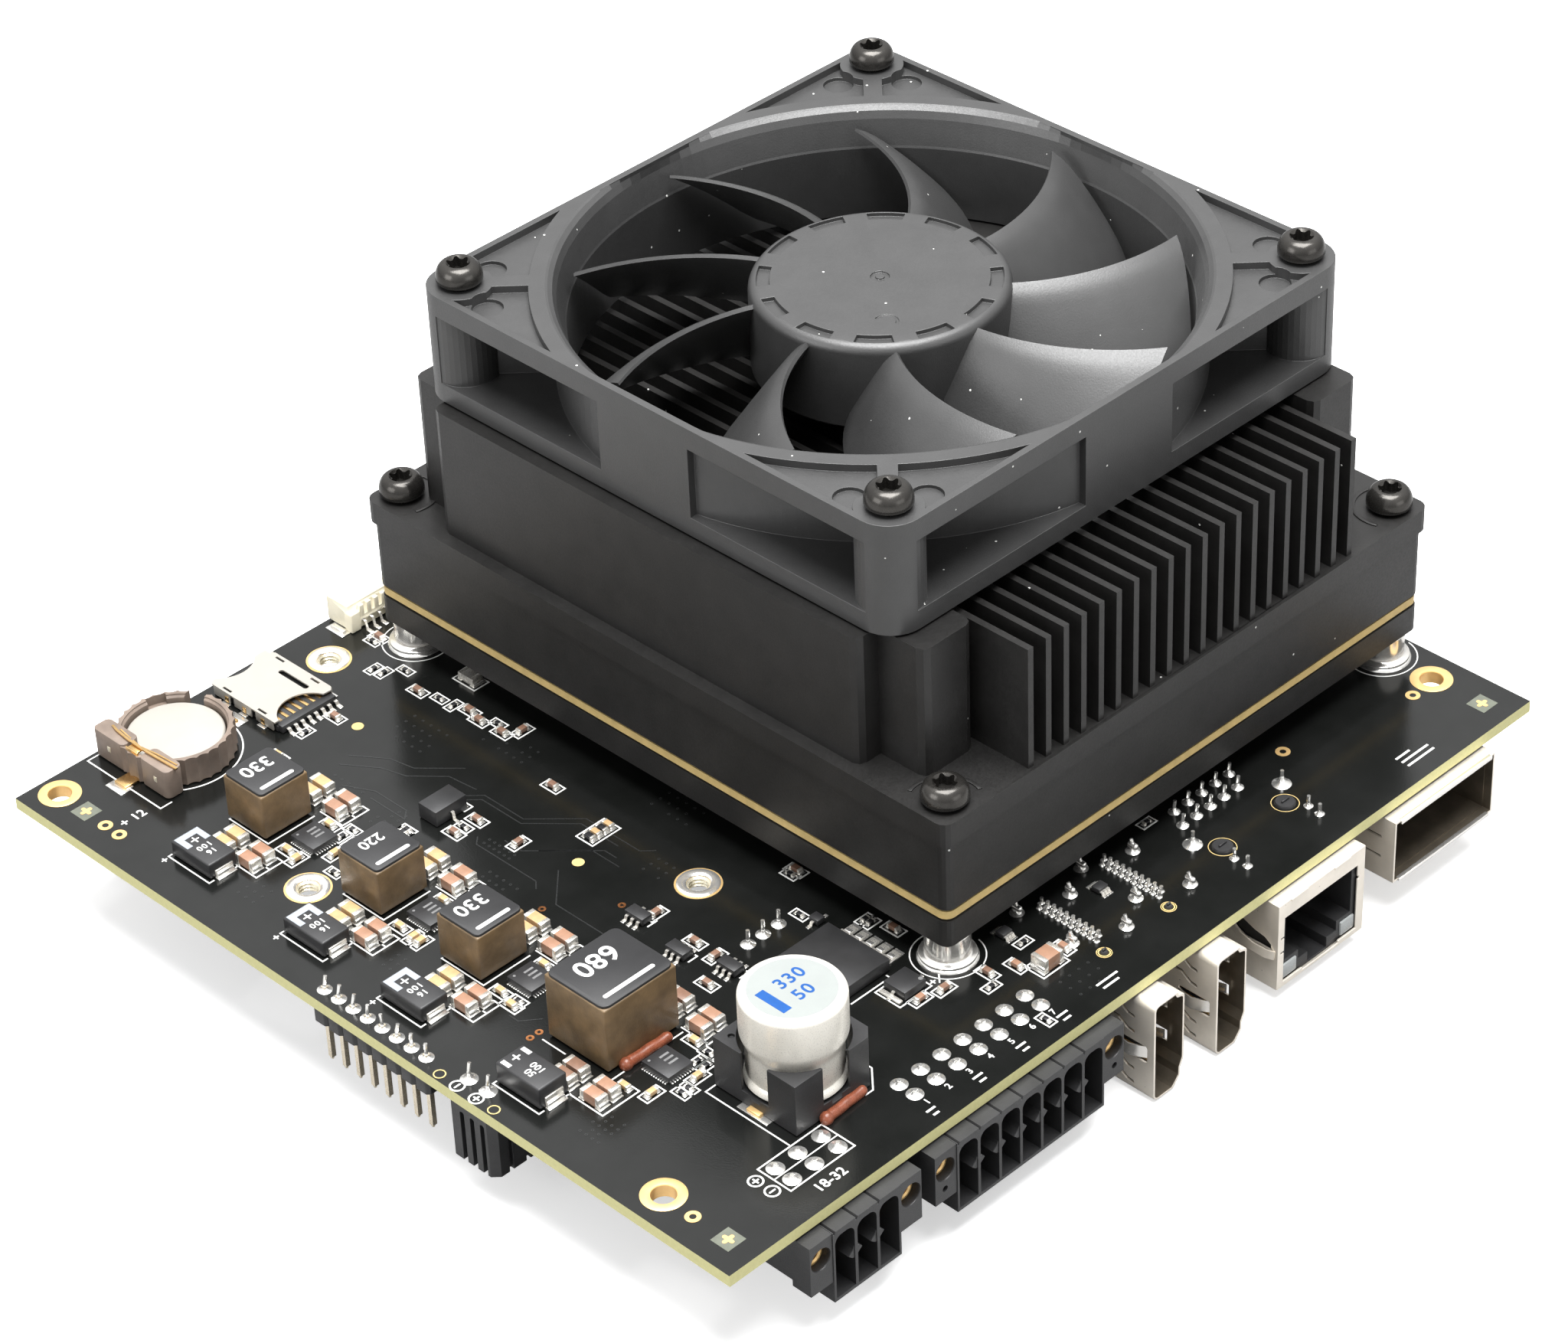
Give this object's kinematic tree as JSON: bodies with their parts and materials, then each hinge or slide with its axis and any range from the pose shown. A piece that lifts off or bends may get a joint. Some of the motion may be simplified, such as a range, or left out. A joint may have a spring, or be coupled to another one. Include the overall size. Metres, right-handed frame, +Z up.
{
  "type": "single board computer",
  "caption": "Carrier board with a stacked compute module, a finned heatsink with a spinning fan, and a row of connectors hanging from its front edge.",
  "frame": {"origin": "front left corner of the carrier board, on its top copper face", "axes": "+X along the connector edge, +Y to the back edge, +Z up out of the component side"},
  "size_m": [0.14, 0.128, 0.0751],
  "materials": {
    "board": "glossy near-black solder mask with gold pads",
    "anodised": "black anodised, satin",
    "fan_plastic": "moulded charcoal plastic, matte",
    "black_plastic": "moulded black plastic, matte",
    "bare_laminate": "gold-tan laminate edge, satin",
    "satin_steel": "nickel-plated sheet, satin",
    "bright_steel": "bright plated, polished",
    "black_steel": "black oxide, semi-gloss",
    "brass": "gold-coloured plating, polished",
    "ferrite": "pressed brown powder core, satin",
    "holder_plastic": "grey-brown moulded plastic, matte",
    "ivory_plastic": "ivory moulded nylon, satin",
    "copper": "enamelled copper winding, satin",
    "cable_sleeve": "black sleeve, matte"
  },
  "bodies": {
    "body": {"carrier_board": "board", "coin_cell_holder": "holder_plastic", "coin_cell": "satin_steel", "coin_cell_contact": "brass", "card_socket_base": "black_plastic", "card_socket_cover": "satin_steel", "four_pin_connector": "ivory_plastic", "inductor_small_1": "ferrite", "inductor_small_2": "ferrite", "inductor_small_3": "ferrite", "inductor_large": "ferrite", "polymer_cap_1": "black_plastic", "polymer_cap_2": "black_plastic", "polymer_cap_3": "black_plastic", "polymer_cap_large": "black_plastic", "electrolytic_base": "black_plastic", "electrolytic_can": "satin_steel", "power_switch_package": "black_plastic", "pin_header": "black_plastic", "power_socket": "black_plastic", "terminal_header_6": "black_plastic", "terminal_header_6_nut_left": "brass", "terminal_header_6_nut_right": "brass", "terminal_header_14": "black_plastic", "terminal_header_14_nut_left": "brass", "terminal_header_14_nut_right": "brass", "hdmi_shield_1": "satin_steel", "hdmi_insert_1": "black_plastic", "hdmi_shield_2": "satin_steel", "hdmi_insert_2": "black_plastic", "ethernet_jack_shield": "satin_steel", "ethernet_jack_insert": "black_plastic", "transceiver_cage": "satin_steel", "transceiver_socket": "black_plastic", "threaded_insert_1": "brass", "threaded_insert_2": "brass", "threaded_insert_3": "brass", "module_standoff_1": "bright_steel", "module_standoff_2": "bright_steel", "module_standoff_3": "bright_steel", "module_standoff_4": "bright_steel", "module_lower_frame": "anodised", "module_connector": "black_plastic", "module_board": "bare_laminate", "processor_package": "satin_steel", "thermal_plate": "anodised", "heatsink": "anodised", "heatsink_screw_1": "black_steel", "heatsink_screw_2": "black_steel", "heatsink_screw_3": "black_steel", "heatsink_screw_4": "black_steel", "fan_frame": "fan_plastic", "fan_stator": "copper", "fan_screw_1": "black_steel", "fan_screw_2": "black_steel", "fan_screw_3": "black_steel", "fan_screw_4": "black_steel", "fan_cable": "cable_sleeve"},
    "rotor": {"fan_rotor": "fan_plastic", "fan_shaft": "bright_steel"}
  },
  "joints": [
    {"name": "fan_spin", "type": "hinge", "parent": "body", "child": "rotor", "pos_m": [0.0952, 0.0672, 0.05], "axis": [0, 0, 1], "continuous": true}
  ]
}
